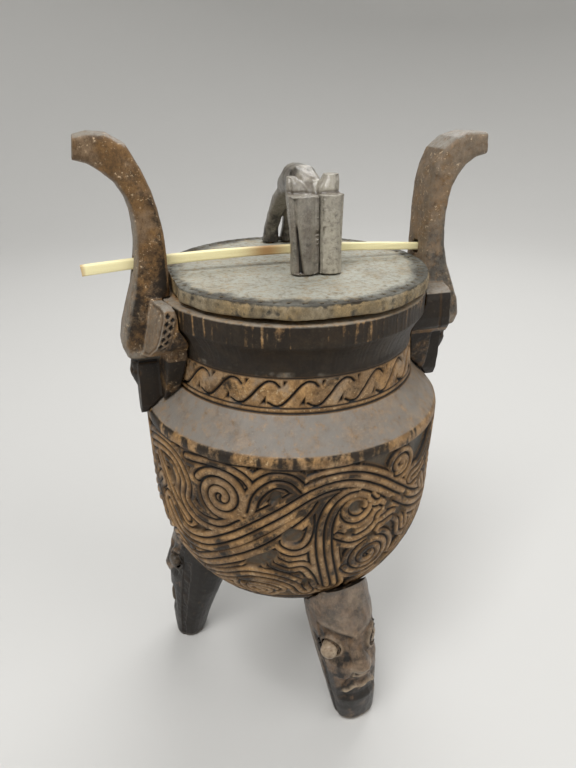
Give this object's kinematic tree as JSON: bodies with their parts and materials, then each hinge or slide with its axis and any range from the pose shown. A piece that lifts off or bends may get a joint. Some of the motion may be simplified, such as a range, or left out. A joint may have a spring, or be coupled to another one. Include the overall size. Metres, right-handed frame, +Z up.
{
  "type": "lidded carved wooden medicine box",
  "caption": "Round carved wooden medicine box with horned handles, mask legs, and a lid held shut by a bowed stick through both handles.",
  "frame": {"origin": "on the floor plane under the pot's turning axis", "axes": "+Z up along the pot's axis, +X through the handles towards the handle with the blind hole, +Y away from the figure's front columns"},
  "size_m": [0.1865, 0.1465, 0.3018],
  "materials": {
    "charred_wood": "satin, blackened",
    "grey_wood": "dusty matt",
    "brown_wood": "worn satin",
    "dark_wood": "satin, blackened",
    "peg_wood": "raw",
    "bamboo": "dry split bamboo"
  },
  "bodies": {
    "pot": {"pot_body": "charred_wood", "handle_left": "brown_wood", "handle_right": "brown_wood", "handle_left_peg_1": "peg_wood", "handle_left_peg_2": "peg_wood", "handle_right_peg_1": "peg_wood", "handle_right_peg_2": "peg_wood", "leg_front": "dark_wood", "leg_front_eye_left": "dark_wood", "leg_front_eye_right": "dark_wood", "leg_front_peg": "peg_wood", "leg_back": "dark_wood", "leg_back_eye_left": "dark_wood", "leg_back_eye_right": "dark_wood", "leg_back_peg": "peg_wood", "leg_left": "dark_wood", "leg_left_eye_left": "dark_wood", "leg_left_eye_right": "dark_wood", "leg_left_peg": "peg_wood"},
    "lid": {"lid": "grey_wood", "lid_figure": "dark_wood", "figure_peg_1": "peg_wood", "figure_peg_2": "peg_wood", "figure_peg_3": "peg_wood", "figure_peg_4": "peg_wood"},
    "stick": {"locking_stick": "bamboo"}
  },
  "joints": [
    {"name": "lid_lift", "type": "slide", "parent": "pot", "child": "lid", "axis": [0, 0, 1], "range_m": [0, 0.0015]},
    {"name": "stick_draw", "type": "hinge", "parent": "pot", "child": "stick", "pos_m": [-0.015, 0, -0.7501], "axis": [0, -1, 0], "range_deg": [0, 8.3]}
  ]
}
